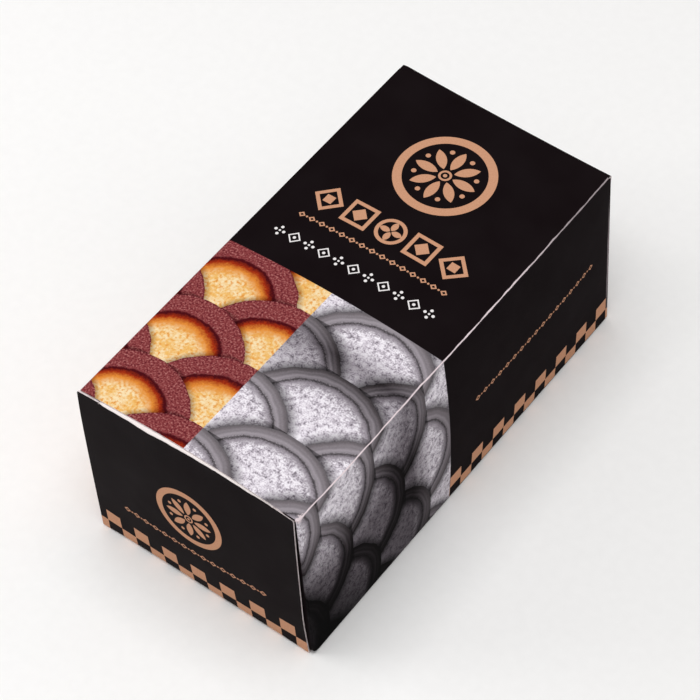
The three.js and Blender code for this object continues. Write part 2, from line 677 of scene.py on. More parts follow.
@dataclass(frozen=True)
class BoardSheet:
    """A closed sheet of board: a printed face, a bare back and cut edges."""

    name: str
    patches: Sequence[Patch]
    thickness: float
    inward: bool = False

    def build(self, materials: Sequence[bpy.types.Material]) -> bpy.types.Object:
        """Makes the sheet's object and puts it in the scene.

        Args:
            materials: The finishes of its printed face, its back and its cut edges.

        Returns:
            The object, riding on the carton's body and standing for its node.
        """
        points, normals, blank, quads, joined = self._welded()
        back = points - normals * self.thickness
        count = len(points)
        edges = self._open_edges(quads)
        rim = [(j, i, i + count, j + count) for i, j in edges]
        faces = [tuple(q) for q in quads] + [tuple(i + count for i in reversed(q)) for q in quads] + rim
        mesh = bpy.data.meshes.new(self.name)
        mesh.from_pydata(np.vstack([points, back]) * MM, [], faces)
        kinds = np.repeat(list(Finish), [len(quads), len(quads), len(rim)])
        kinds[2 * len(quads) :][[bool(joined[i] and joined[j]) for i, j in edges]] = Finish.PRINTED
        mesh.polygons.foreach_set("material_index", kinds.astype(np.int32))
        mesh.polygons.foreach_set("use_smooth", np.ones(len(faces), bool))
        keep_blank(mesh, np.vstack([blank, blank]))
        for material in materials:
            mesh.materials.append(material)
        mesh.update()
        shown = np.vstack([normals, -normals])[np.array(faces).ravel()]
        flat = np.repeat([polygon.normal for polygon in mesh.polygons], 4, axis=0)
        cut = np.arange(len(shown)) >= 4 * 2 * len(quads)
        shown[cut] = flat[cut]
        mesh.normals_split_custom_set([tuple(normal) for normal in shown])
        made = bpy.data.objects.new(self.name, mesh)
        bpy.context.scene.collection.objects.link(made)
        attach(made, BODY)
        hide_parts(CAD_NODE)
        LOG.info("%s: %d faces", self.name, len(faces))
        return made

    def _welded(self) -> tuple[np.ndarray, ...]:
        """Joins the patches where their edges meet.

        Returns:
            Points, outward normals, places on the blank, quads wound outward, and marks for joints.
        """
        quads, start = [], 0
        for patch in self.patches:
            ids = start + np.arange(patch.first.size).reshape(patch.first.shape)
            quads.append(cells(ids))
            start += patch.first.size
        quads = np.vstack(quads)
        points = np.vstack([p.surface(p.first, p.second).reshape(-1, 3) for p in self.patches])
        normals = np.vstack([p.normals().reshape(-1, 3) for p in self.patches])
        blanks = np.vstack([p.blank(p.first, p.second).reshape(-1, 3) for p in self.patches])
        joined = np.concatenate([p.joined().ravel() for p in self.patches])
        if self.inward:
            normals, quads = -normals, quads[:, ::-1]
        rounded = np.round(points, WELD_DIGITS)
        _, keep, place = np.unique(rounded, axis=0, return_index=True, return_inverse=True)
        return points[keep], normals[keep], blanks[keep], place.reshape(-1)[quads], joined[keep]

    @staticmethod
    def _open_edges(quads: np.ndarray) -> list[tuple[int, int]]:
        """Finds the edges that only one quad has.

        Args:
            quads: The corners of each quad.

        Returns:
            Each edge's two points, in its quad's order.
        """
        pairs = [(int(q[i]), int(q[(i + 1) % 4])) for q in quads for i in range(4)]
        known = set(pairs)
        return [(i, j) for i, j in pairs if (j, i) not in known]


def grid(first: Sequence[float], second: Sequence[float]) -> tuple[np.ndarray, np.ndarray]:
    """Spreads two lists of places into a grid.

    Args:
        first: Places along a row.
        second: Places along a column.

    Returns:
        The two arrays of the grid.
    """
    a, b = np.meshgrid(np.asarray(first, float), np.asarray(second, float))
    return a, b


def spaced(*stops: tuple[float, int]) -> np.ndarray:
    """Lists places that are evenly spaced between stops.

    Args:
        stops: Each stop, with the number of steps that lead to it.

    Returns:
        The places, without repeats.
    """
    places = [stops[0][0]]
    for stop, count in stops[1:]:
        places.extend(np.linspace(places[-1], stop, count + 1)[1:])
    return np.array(places)


Operand = Union["Signal", float]


@dataclass(frozen=True)
class Signal:
    """A number in a shader. Arithmetic on it adds the nodes that work it out."""

    tree: bpy.types.NodeTree
    socket: bpy.types.NodeSocket

    def math(self, operation: str, *others: Operand, clamp: bool = False) -> "Signal":
        """Adds a Math node.

        Args:
            operation: What it does.
            others: Its other numbers or signals.
            clamp: Whether its result is kept between 0 and 1.

        Returns:
            The result.
        """
        node = self.tree.nodes.new("ShaderNodeMath")
        node.operation = operation
        node.use_clamp = clamp
        for i, operand in enumerate((self, *others)):
            if isinstance(operand, Signal):
                self.tree.links.new(operand.socket, node.inputs[i])
            else:
                node.inputs[i].default_value = operand
        return Signal(self.tree, node.outputs[0])

    def __add__(self, other: Operand) -> "Signal":
        """Gives the sum."""
        return self.math("ADD", other)

    def __sub__(self, other: Operand) -> "Signal":
        """Gives the difference."""
        return self.math("SUBTRACT", other)

    def __mul__(self, other: Operand) -> "Signal":
        """Gives the product."""
        return self.math("MULTIPLY", other)

    def __truediv__(self, other: Operand) -> "Signal":
        """Gives the quotient."""
        return self.math("DIVIDE", other)

    def flipped(self, whole: float = 1.0) -> "Signal":
        """Gives what is left of a whole."""
        return self.math("MULTIPLY_ADD", -1.0, whole)

    def size(self) -> "Signal":
        """Gives the number without its sign."""
        return self.math("ABSOLUTE")

    def least(self, other: Operand) -> "Signal":
        """Gives the smaller of two."""
        return self.math("MINIMUM", other)

    def most(self, other: Operand) -> "Signal":
        """Gives the larger of two."""
        return self.math("MAXIMUM", other)

    def mixed(self, other: "Signal", share: float) -> "Signal":
        """Gives a blend that holds the given share of the other."""
        return self * (1 - share) + other * share

    def step(self, start: float, end: float) -> "Signal":
        """Gives a ramp that is 0 at one value and 1 at another, and stays there."""
        slope = 1 / (end - start)
        return self.math("MULTIPLY_ADD", slope, -start * slope, clamp=True)

    def inked(self, blur: float = 0.07) -> "Signal":
        """Turns a distance from an outline into a mask that is 1 inside it."""
        return self.step(blur / 2, -blur / 2)


@dataclass(frozen=True)
class Place:
    """Where a point lies on the flat blank, in millimetres."""

    across: Signal
    along: Signal

    def about(self, across: float, along: float) -> "Place":
        """Measures from a new middle."""
        return Place(self.across - across, self.along - along)

    def turned(self, degrees: float) -> "Place":
        """Turns the axes about the middle."""
        c, s = math.cos(math.radians(degrees)), math.sin(math.radians(degrees))
        return Place(self.across * c + self.along * s, self.along * c - self.across * s)

    def mirrored(self) -> "Place":
        """Folds the left half over the right."""
        return Place(self.across.size(), self.along)

    def repeated(self, pitch: float) -> "Place":
        """Repeats one stretch around the middle again and again across."""
        return Place(self.across.math("WRAP", pitch / 2, -pitch / 2), self.along)

    def reach(self) -> Signal:
        """Gives the distance from the middle."""
        squares = self.across.math("MULTIPLY_ADD", self.across, self.along * self.along)
        return squares.math("SQRT")

    def sector(self, count: int) -> "Place":
        """Repeats one sector around the middle.

        Args:
            count: How many sectors make the whole turn.

        Returns:
            Distances out along the sector's middle line and away from it.
        """
        angle = self.along.math("ARCTAN2", self.across)
        angle = angle.math("WRAP", math.pi / count, -math.pi / count)
        reach = self.reach()
        return Place(reach * angle.math("COSINE"), reach * angle.math("SINE"))


def disc(place: Place, radius: float) -> Signal:
    """Gives the distance from a disc's outline, below 0 inside."""
    return place.reach() - radius


def ring(place: Place, radius: float, width: float) -> Signal:
    """Gives the distance from a ring, drawn inward from its outer radius."""
    return (place.reach() - (radius - width / 2)).size() - width / 2


def box(place: Place, half_across: float, half_along: float) -> Signal:
    """Gives the distance from a rectangle, below 0 inside."""
    return (place.across.size() - half_across).most(place.along.size() - half_along)


def lozenge(place: Place, half_across: float, half_along: float) -> Signal:
    """Gives the distance from a lozenge.

    Args:
        place: Where to read it, measured from its middle.
        half_across: Half its width.
        half_along: Half its height.

    Returns:
        The distance, below 0 inside.
    """
    lean = 1 / math.hypot(1 / half_across, 1 / half_along)
    share = place.across.size() / half_across + place.along.size() / half_along
    return share.math("MULTIPLY_ADD", lean, -lean)


def petal(place: Place, middle: float, half_length: float, half_width: float) -> Signal:
    """Gives the distance from a pointed petal that lies out along the first axis.

    Args:
        place: Where to read it.
        middle: How far out its middle is.
        half_length: Half its length.
        half_width: Half its width.

    Returns:
        The distance, below 0 inside.
    """
    radius = (half_length**2 + half_width**2) / (2 * half_width)
    bowed = Place(place.across - middle, place.along.size() + (radius - half_width))
    return bowed.reach() - radius


def outline(distance: Signal, width: float) -> Signal:
    """Gives the distance from a line drawn inside a shape's outline."""
    return (distance + width / 2).size() - width / 2


def union(*distances: Signal) -> Signal:
    """Joins shapes, as the distance from the nearest of them."""
    return reduce(Signal.least, distances)


# The sockets of a Mix node that blends colours
MIX_SHARE, MIX_UNDER, MIX_OVER, MIX_RESULT = 0, 6, 7, 2


@dataclass(frozen=True)
class Grain:
    """Soft random grain, sized in millimetres across and along. Its seed tells it from the others."""

    size: float
    seed: float
    detail: float = 2.0
    stretch: tuple[float, float] = (1.0, 1.0)


class Canvas:
    """A material whose colour is laid down in layers, by places on the flat blank."""

    def __init__(self, name: str) -> None:
        """Starts an empty material.

        Args:
            name: Its name.
        """
        self.material = bpy.data.materials.new(name)
        self.material.use_nodes = True
        self.tree = self.material.node_tree
        self.tree.nodes.clear()
        blank = self._node("ShaderNodeAttribute", attribute_name=BLANK)
        parts = self._node("ShaderNodeSeparateXYZ")
        self.tree.links.new(blank.outputs["Vector"], parts.inputs[0])
        across, along, self.past = (Signal(self.tree, output) for output in parts.outputs)
        self.place = Place(across, along)
        self.colour: Optional[bpy.types.NodeSocket] = None

    def _node(self, kind: str, **settings: object) -> bpy.types.Node:
        """Adds a node.

        Args:
            kind: Its type.
            settings: Its own settings, by their names.

        Returns:
            The node.
        """
        node = self.tree.nodes.new(kind)
        for key, value in settings.items():
            setattr(node, key, value)
        return node

    def grain(self, grain: Grain) -> Signal:
        """Adds random grain.

        Args:
            grain: Its size and kind.

        Returns:
            A signal around one half.
        """
        join = self._node("ShaderNodeCombineXYZ")
        for axis, distance in enumerate((self.place.across, self.place.along)):
            self.tree.links.new((distance / (grain.size * grain.stretch[axis])).socket, join.inputs[axis])
        join.inputs[2].default_value = grain.seed
        noise = self._node("ShaderNodeTexNoise")
        noise.inputs["Scale"].default_value = 1.0
        noise.inputs["Detail"].default_value = grain.detail
        self.tree.links.new(join.outputs[0], noise.inputs["Vector"])
        return Signal(self.tree, noise.outputs["Fac"])

    def ramp(self, signal: Signal, stops: Sequence[tuple[float, Colour]]) -> bpy.types.NodeSocket:
        """Turns a signal into colour.

        Args:
            signal: What to turn.
            stops: Values in rising order, with their colours.

        Returns:
            The colour.
        """
        low, high = stops[0][0], stops[-1][0]
        node = self._node("ShaderNodeValToRGB")
        self.tree.links.new(signal.step(low, high).socket, node.inputs[0])
        elements = node.color_ramp.elements
        while len(elements) < len(stops):
            elements.new(1.0)
        for element, (value, colour) in zip(elements, stops):
            element.position = (value - low) / (high - low)
            element.color = (*colour, 1.0)
        return node.outputs[0]

    def mottled(
        self, grain: Signal, dark: Colour, light: Colour, stops: tuple[float, float] = (0.3, 0.7)
    ) -> bpy.types.NodeSocket:
        """Gives two colours mingled by a grain, the dark one where it is below the first stop."""
        return self.ramp(grain, [(stops[0], dark), (stops[1], light)])

    def apart(self, paint: Callable[["Canvas"], None]) -> bpy.types.NodeSocket:
        """Paints something by itself, and leaves what is there as it was.

        Args:
            paint: What lays its colours down.

        Returns:
            The colour that it gives.
        """
        kept, self.colour = self.colour, None
        paint(self)
        painted, self.colour = self.colour, kept
        return painted

    def cover(
        self, mask: Optional[Signal], colour: Union[Colour, bpy.types.NodeSocket], way: str = "MIX"
    ) -> None:
        """Lays a colour over what is there.

        Args:
            mask: Where it goes, or None for everywhere.
            colour: The colour.
            way: How it mixes with what is under it.
        """
        node = self._node("ShaderNodeMix", data_type="RGBA", blend_type=way)
        if mask is None:
            node.inputs[MIX_SHARE].default_value = 1.0
        else:
            self.tree.links.new(mask.socket, node.inputs[MIX_SHARE])
        if self.colour is not None:
            self.tree.links.new(self.colour, node.inputs[MIX_UNDER])
        if isinstance(colour, bpy.types.NodeSocket):
            self.tree.links.new(colour, node.inputs[MIX_OVER])
        else:
            node.inputs[MIX_OVER].default_value = (*colour, 1.0)
        self.colour = node.outputs[MIX_RESULT]

    def seal(
        self, roughness: Signal, specular: float, height: Signal, depth: float, plain: Colour
    ) -> bpy.types.Material:
        """Adds the surface itself under the colour.

        Args:
            roughness: Its roughness.
            specular: Its specular level.
            height: Its fine relief, from 0 to 1.
            depth: How deep that relief is, in millimetres.
            plain: The colour it has where no nodes are read.

        Returns:
            The finished material.
        """
        self.material.diffuse_color = (*plain, 1.0)
        surface = self._node("ShaderNodeBsdfPrincipled")
        surface.inputs["Specular IOR Level"].default_value = specular
        self.tree.links.new(roughness.socket, surface.inputs["Roughness"])
        self.tree.links.new(self.colour, surface.inputs["Base Color"])
        bump = self._node("ShaderNodeBump")
        bump.inputs["Strength"].default_value = 1.0
        bump.inputs["Distance"].default_value = depth * MM
        self.tree.links.new(height.socket, bump.inputs["Height"])
        self.tree.links.new(bump.outputs[0], surface.inputs["Normal"])
        output = self._node("ShaderNodeOutputMaterial")
        self.tree.links.new(surface.outputs[0], output.inputs[0])
        return self.material


@dataclass(frozen=True)
class Layer:
    """A colour that a signal brings in, from nothing at one of its values to full strength at another."""

    colour: Colour
    start: float = 0.0
    end: float = 1.0
    strength: float = 1.0
    way: str = "MIX"

    def lay(self, canvas: Canvas, signal: Signal, where: Operand = 1.0) -> None:
        """Covers a canvas with the colour, as the signal and the mask say."""
        canvas.cover(signal.step(self.start, self.end) * where * self.strength, self.colour, self.way)


@dataclass(frozen=True)
class Inks:
    """The colours of the print, linear."""

    black: Colour = (0.0058, 0.0031, 0.0038)
    black_worn: Colour = (0.0080, 0.0050, 0.0058)
    copper: Colour = srgb("CE9A7B")
    copper_dark: Colour = srgb("C38F70")
    copper_grain: Grain = Grain(0.4, seed=45.0)
    white: Colour = srgb("EDE9E8")
    # Bared board where ink has cracked; also laid along each side's rear fold as a painted highlight
    crack_and_highlight: Colour = srgb("EFDEE2")
    board: Colour = srgb("EFE6E4")


INKS = Inks()


def lay_copper(canvas: Canvas, mask: Signal) -> None:
    """Prints copper ink with its faint grain."""
    grain = canvas.grain(INKS.copper_grain)
    canvas.cover(mask, canvas.mottled(grain, INKS.copper_dark, INKS.copper))


def lay_crack_and_highlight(canvas: Canvas, line: Signal, half_width: Signal, blur: float, strength: Operand) -> None:
    """Lays a pale line of bared board where the ink has cracked, and the same line as a painted highlight
    along a fold.

    Args:
        canvas: The print that cracks or takes the painted highlight.
        line: How far a place lies from the middle of the line.
        half_width: Half the line's width.
        blur: How soft its edges are.
        strength: How much of the ink is bared or painted over, from 0 to 1.
    """
    canvas.cover((line.size() - half_width).inked(blur) * strength, INKS.crack_and_highlight)


@dataclass(frozen=True)
class CrushedCorner:
    """The spot where the right top fold is crushed at the front and its ink has come off."""

    middle: tuple[float, float] = (WIDTH + 0.2, 0.9)
    radius: float = 0.95
    narrowing: float = 0.6
    crumple: Grain = Grain(0.7, seed=52.0, detail=3.0)
    crumple_spread: float = 3.0
    blur: float = 0.4
    strength: float = 0.8

    def bare(self, canvas: Canvas) -> None:
        """Takes the ink off a print that the spot lies on.

        Args:
            canvas: The print.
        """
        about = canvas.place.about(*self.middle)
        crumple = (canvas.grain(self.crumple) - 0.5) * self.crumple_spread
        spot = disc(Place(about.across, about.along * self.narrowing), self.radius) + crumple
        canvas.cover(spot.inked(self.blur) * self.strength, INKS.crack_and_highlight)


@dataclass(frozen=True)
class Rosette:
    """A round flower in a ring. Its parts are sized by shares of the room inside the ring."""

    radius: float
    ring_width: float
    petals: int = 8
    petal_middle: float = 0.52
    petal_half_length: float = 0.31
    petal_half_width: float = 0.125
    bud_middle: float = 0.74
    bud_radius: float = 0.062
    heart_radius: float = 0.16
    heart_width: float = 0.055
    seed_radius: float = 0.05

    def draw(self, place: Place) -> Signal:
        """Gives the distance from its lines.

        Args:
            place: Where to read it, measured from its middle.

        Returns:
            The distance, below 0 inside a line.
        """
        room = self.radius - self.ring_width
        sector = place.sector(self.petals)
        between = place.turned(180 / self.petals).sector(self.petals)
        half_length, half_width = self.petal_half_length * room, self.petal_half_width * room
        return union(
            ring(place, self.radius, self.ring_width),
            petal(sector, self.petal_middle * room, half_length, half_width),
            disc(between.about(self.bud_middle * room, 0.0), self.bud_radius * room),
            ring(place, self.heart_radius * room, self.heart_width * room),
            disc(place, self.seed_radius * room),
        )


@dataclass(frozen=True)
class SmallRow:
    """A fine row of lozenges and dots."""

    start: float
    end: float
    middle: float
    half_height: float = 0.9
    pitch: float = 3.3
    slimness: float = 1.15
    line: float = 0.36
    dot_radius: float = 0.3

    def draw(self, place: Place) -> Signal:
        """Gives the distance from its marks.

        Args:
            place: Where to read it.

        Returns:
            The distance, below 0 inside a mark.
        """
        half_mark = self.slimness * self.half_height
        half_row = (self.end - self.start) / 2 - half_mark
        pitch = half_row / round(half_row / self.pitch)
        about = place.about((self.start + self.end) / 2, self.middle)
        marks = union(
            outline(lozenge(about.repeated(pitch), half_mark, self.half_height), self.line),
            disc(about.about(pitch / 2, 0.0).repeated(pitch), self.dot_radius),
        )
        return marks.most(about.across.size() - half_row - half_mark)


@dataclass(frozen=True)
class TitleRow:
    """A row of five large ornaments, the same from either end. Their inner parts are shares of a half."""

    centre: float = 32.15
    middle: float = 82.2
    pitch: float = 9.6
    half: float = 4.2
    petals: int = 4
    petal_sizes: tuple[float, float, float] = (0.42, 0.36, 0.2)
    flower_line: float = 1.0
    square: float = 0.92
    square_line: float = 1.05
    square_heart: float = 0.55
    gem: float = 1.08
    gem_line: float = 1.0
    gem_heart: float = 0.3

    def draw(self, place: Place) -> Signal:
        """Gives the distance from its ornaments.

        Args:
            place: Where to read it.

        Returns:
            The distance, below 0 inside a line.
        """
        about = place.about(self.centre, self.middle)
        second = about.mirrored().about(self.pitch, 0.0)
        third = about.mirrored().about(2 * self.pitch, 0.0)
        square, square_heart = self.square * self.half, self.square_heart * self.half
        gem, gem_heart = self.gem * self.half, self.gem_heart * self.half
        return union(
            petal(about.sector(self.petals), *(share * self.half for share in self.petal_sizes)),
            ring(about, self.half, self.flower_line),
            outline(box(second, square, square), self.square_line),
            lozenge(second, square_heart, square_heart),
            outline(lozenge(third, gem, gem), self.gem_line),
            box(third, gem_heart, gem_heart),
        )


@dataclass(frozen=True)
class FineRow:
    """A row of fine outlined lozenges and small round flowers by turns."""

    centre: float = 32.0
    middle: float = 67.05
    pitch: float = 4.6
    count: int = 11
    half: float = 1.95
    line: float = 0.34
    dot_radius: float = 0.42
    buds: int = 4
    bud_middle: float = 1.209
    seed_radius: float = 0.3

    def draw(self, place: Place) -> Signal:
        """Gives the distance from its marks.

        Args:
            place: Where to read it.

        Returns:
            The distance, below 0 inside a mark.
        """
        about = place.about(self.centre, self.middle)
        odd = about.repeated(2 * self.pitch)
        even = about.about(self.pitch, 0.0).repeated(2 * self.pitch)
        marks = union(
            outline(lozenge(odd, self.half, self.half), self.line),
            disc(odd, self.dot_radius),
            disc(even.sector(self.buds).about(self.bud_middle, 0.0), self.dot_radius),
            disc(even, self.seed_radius),
        )
        return marks.most(about.across.size() - self.count * self.pitch / 2)


@dataclass(frozen=True)
class Checkers:
    """Two rows of squares along an edge, the lower one shifted by a square."""

    start: float
    square: float
    top: float = 48.2
    row: float = 4.65

    def mask(self, across: Signal, down: Signal) -> Signal:
        """Gives where its squares are.

        Args:
            across: Places along the edge.
            down: Places down the panel.

        Returns:
            A mask that is 1 on the squares.
        """
        columns = (across - self.start) / self.square
        rows = (down - self.top) / self.row
        parity = columns.math("FLOOR") + rows.math("FLOOR")
        chosen = parity.math("FLOORED_MODULO", 2.0).math("LESS_THAN", 0.5)
        return chosen * rows.math("GREATER_THAN", 0.0)


@dataclass(frozen=True)
class Fans:
    """Rows of overlapping fans. Each row lies on the one behind it, half a fan over."""

    middle: float
    radius: float = 21.0
    first: float = -3.0
    shadow_reach: float = 1.6
    wobble: Grain = Grain(3.2, seed=3.0, detail=1.0)
    wobble_spread: float = 0.9

    def depth(self, canvas: Canvas) -> tuple[Signal, Signal]:
        """Gives how deep inside the topmost fan a place lies.

        Args:
            canvas: What the fans are painted on.

        Returns:
            The depth from its uneven rim, and the shadow that the fans in front cast.
        """
        wobble = (canvas.grain(self.wobble) - 0.5) * self.wobble_spread
        rise = self.radius / 2
        about = canvas.place.about(self.middle, self.first)
        row = (about.along / rise).math("FLOOR")
        depth, shadow = None, None
        for behind in (1.0, 0.0, -1.0):
            index = row + behind
            across = about.across + index.math("FLOORED_MODULO", 2.0) * self.radius
            fan = Place(across.math("WRAP", self.radius, -self.radius), about.along - index * rise)
            inside = fan.reach().flipped(self.radius) + wobble
            if depth is None:
                depth, shadow = inside, inside * 0.0
                continue
            on = inside.math("GREATER_THAN", 0.0)
            depth = on.math("MULTIPLY_ADD", inside - depth, depth)
            shadow = shadow.most(inside.step(-self.shadow_reach, 0.0)) * on.flipped()
        return depth, shadow


@dataclass(frozen=True)
class WarmPattern:
    """Fans in the colours of sponge with a dark crust. Its stops and edges are depths from a fan's rim."""

    fans: Fans = Fans(middle=10.0)
    stops: Sequence[tuple[float, Colour]] = (
        (0.0, srgb("601F27")),
        (0.5, srgb("843B3D")),
        (5.3, srgb("843B3D")),
        (5.7, srgb("480A12")),
        (6.2, srgb("480A12")),
        (7.4, srgb("9E2E10")),
        (9.1, srgb("DC8836")),
        (12.2, srgb("EAB768")),
        (21.0, srgb("EAB768")),
    )
    crust_edge: tuple[float, float] = (5.7, 5.1)
    crust_glints: Layer = Layer(srgb("B0706C"), start=0.53, end=0.68)
    crust_pits: Layer = Layer(srgb("601F27"), start=0.49, end=0.35)
    crumb_edge: tuple[float, float] = (9.0, 11.6)
    pale_patches: Layer = Layer(srgb("F3DFB6"), start=0.44, end=0.60, strength=0.9)
    gold_specks: Layer = Layer(srgb("DC8836"), start=0.47, end=0.36, strength=0.8)
    shadows: Layer = Layer(srgb("480A12"), strength=0.6, way="MULTIPLY")
    fine: Grain = Grain(0.5, seed=5.0)
    fine_spread: float = 1.4
    pores: Grain = Grain(1.1, seed=6.0, detail=3.0)
    pore_spread: float = 1.2
    pore_share: float = 0.4
    specks: Grain = Grain(0.8, seed=7.0)
    speck_share: float = 0.5
    patches: Grain = Grain(4.0, seed=8.0)

    def paint(self, canvas: Canvas) -> None:
        """Lays the pattern down.

        Args:
            canvas: What to paint on.
        """
        depth, shadow = self.fans.depth(canvas)
        fine, pores = canvas.grain(self.fine), canvas.grain(self.pores)
        specks, patches = canvas.grain(self.specks), canvas.grain(self.patches)
        uneven = depth + (fine - 0.5) * self.fine_spread + (pores - 0.5) * self.pore_spread
        canvas.cover(None, canvas.ramp(uneven, self.stops))
        on_crust = depth.step(*self.crust_edge)
        self.crust_glints.lay(canvas, fine, on_crust)
        self.crust_pits.lay(canvas, fine, on_crust)
        on_crumb = depth.step(*self.crumb_edge)
        self.pale_patches.lay(canvas, patches.mixed(specks, self.speck_share), on_crumb)
        self.gold_specks.lay(canvas, specks.mixed(pores, self.pore_share), on_crumb)
        self.shadows.lay(canvas, shadow)


@dataclass(frozen=True)
class GreyPattern:
    """Fans of pale meal with rims of grey wood, lit in a pool near the front and along the rear edge.

    Its stops and edges are depths from a fan's rim.
    """

    fans: Fans = Fans(middle=52.0, shadow_reach=3.0, wobble=Grain(4.0, seed=13.0, detail=1.0))
    stops: Sequence[tuple[float, Colour]] = (
        (0.0, srgb("1C1818")),
        (0.5, srgb("4E4648")),
        (3.0, srgb("A39BA2")),
        (3.4, srgb("2A2526")),
        (4.3, srgb("968E96")),
        (7.0, srgb("CAC1CB")),
        (21.0, srgb("DDD5DF")),
    )
    fine: Grain = Grain(0.45, seed=16.0)
    fine_spread: float = 1.2
    lumps: Grain = Grain(1.5, seed=17.0, detail=5.0)
    lump_share: float = 0.55
    pool: tuple[float, float] = (50.0, 10.0)
    pool_narrowing: float = 0.75
    pool_reach: tuple[float, float] = (36.0, 20.0)
    light_edge: tuple[float, float] = (42.0, 50.0)
    rim_edge: tuple[float, float] = (3.6, 3.2)
    rim_lines: Layer = Layer(srgb("2C2728"), strength=0.7)
    rim_lines_apart: float = 1.7
    rim_lines_fade: float = 0.43
    rim_light: Layer = Layer(srgb("B0A8AF"), strength=0.25)
    meal_edge: tuple[float, float] = (4.4, 6.0)
    meal_light: Layer = Layer(srgb("F4EFF5"), start=0.47, end=0.58)
    meal_pits: Layer = Layer(srgb("6C656E"), start=0.475, end=0.36, strength=0.9)
    unlit: Layer = Layer(srgb("625B60"), start=1.0, end=0.0, strength=0.85, way="MULTIPLY")
    dim_side: Layer = Layer(srgb("706769"), start=70.0, end=92.0, strength=0.8, way="MULTIPLY")
    dark_foot: Layer = Layer(srgb("3C3637"), start=88.0, end=112.0, strength=0.48, way="MULTIPLY")
    dim_less_on_meal: float = 0.5
    dim_less_in_light: float = 0.6
    dark_corner: Layer = Layer(srgb("2A2526"), start=86.0, end=110.0, strength=0.93, way="MULTIPLY")
    shadows: Layer = Layer(srgb("1E1B1B"), strength=0.8, way="MULTIPLY")

    def paint(self, canvas: Canvas) -> None:
        """Lays the pattern down.

        Args:
            canvas: What to paint on.
        """
        place = canvas.place
        depth, shadow = self.fans.depth(canvas)
        fine, lumps = canvas.grain(self.fine), canvas.grain(self.lumps)
        canvas.cover(None, canvas.ramp(depth + (fine - 0.5) * self.fine_spread, self.stops))
        light = self.light(place)
        on_rim = depth.step(*self.rim_edge)
        lines = (depth * self.rim_lines_apart).math("PINGPONG", 1.0)
        self.rim_lines.lay(canvas, lines, on_rim * (light * self.rim_lines_fade).flipped())
        meal = fine.mixed(lumps, self.lump_share)
        on_meal = depth.step(*self.meal_edge)
        self.meal_light.lay(canvas, meal, on_meal)
        self.meal_pits.lay(canvas, meal, on_meal)
        self.rim_light.lay(canvas, light, on_rim)
        self.unlit.lay(canvas, light)
        dimming = (on_meal * self.dim_less_on_meal).flipped() * (light * self.dim_less_in_light).flipped()
        self.dim_side.lay(canvas, place.across, dimming)
        self.dark_foot.lay(canvas, place.across, dimming)
        self.dark_corner.lay(canvas, place.across - place.along)
        self.shadows.lay(canvas, shadow)

    def light(self, place: Place) -> Signal:
        """Gives how brightly a place is lit.

        Args:
            place: Where to read it.

        Returns:
            The light, from 0 to 1.
        """
        pool = place.about(*self.pool)
        pool = Place(pool.across * self.pool_narrowing, pool.along)
        return pool.reach().step(*self.pool_reach).most(place.along.step(*self.light_edge))


@dataclass(frozen=True)
class InkFinish:
    """Printed and varnished board."""

    roughness: float = 0.54
    roughness_spread: float = 0.12
    specular: float = 0.03
    fine: Grain = Grain(0.35, seed=21.0, detail=3.0)
    fine_share: float = 0.24
    broad: Grain = Grain(9.0, seed=22.0)
    relief: float = 0.05

    def seal(self, canvas: Canvas) -> bpy.types.Material:
        """Gives a painted canvas its surface.

        Args:
            canvas: What was painted.

        Returns:
            The finished material.
        """
        broad = canvas.grain(self.broad)
        roughness = broad * self.roughness_spread + self.roughness
        height = canvas.grain(self.fine) * self.fine_share + broad
        return canvas.seal(roughness, self.specular, height, self.relief, INKS.black)


@dataclass(frozen=True)
class BareBoard:
    """Board or paper without print, with its fibres."""

    name: str
    colour: Colour
    fleck: Colour
    stops: tuple[float, float] = (0.35, 0.6)
    fibres: Grain = Grain(0.5, seed=31.0, detail=3.0)
    roughness: float = 0.8
    roughness_spread: float = 0.1
    specular: float = 0.2
    relief: float = 0.02

    def material(self) -> bpy.types.Material:
        """Makes the material.

        Returns:
            The finished material.
        """
        canvas = Canvas(self.name)
        fibres = canvas.grain(self.fibres)
        canvas.cover(None, canvas.mottled(fibres, self.fleck, self.colour, self.stops))
        roughness = fibres * self.roughness_spread + self.roughness
        return canvas.seal(roughness, self.specular, fibres, self.relief, self.colour)


@dataclass(frozen=True)
class PanelPrint:
    """The print of one panel. It is plain black until a panel adds its own."""

    name: str = "plain_ink"
    finish: InkFinish = InkFinish()
    tone: Grain = Grain(14.0, seed=41.0)
    picture_end: float = 57.85
    picture_blur: float = 0.12

    def material(self) -> bpy.types.Material:
        """Makes the panel's material.

        Returns:
            The finished material.
        """
        canvas = Canvas(self.name)
        canvas.cover(None, canvas.mottled(canvas.grain(self.tone), INKS.black, INKS.black_worn))
        self.draw(canvas)
        return self.finish.seal(canvas)

    def draw(self, canvas: Canvas) -> None:
        """Adds the panel's own print to the black. A plain panel has none."""

    def lay_picture(self, canvas: Canvas, paint: Callable[[Canvas], None]) -> None:
        """Lays a picture over the front part of the panel."""
        canvas.cover((canvas.place.along - self.picture_end).inked(self.picture_blur), canvas.apart(paint))


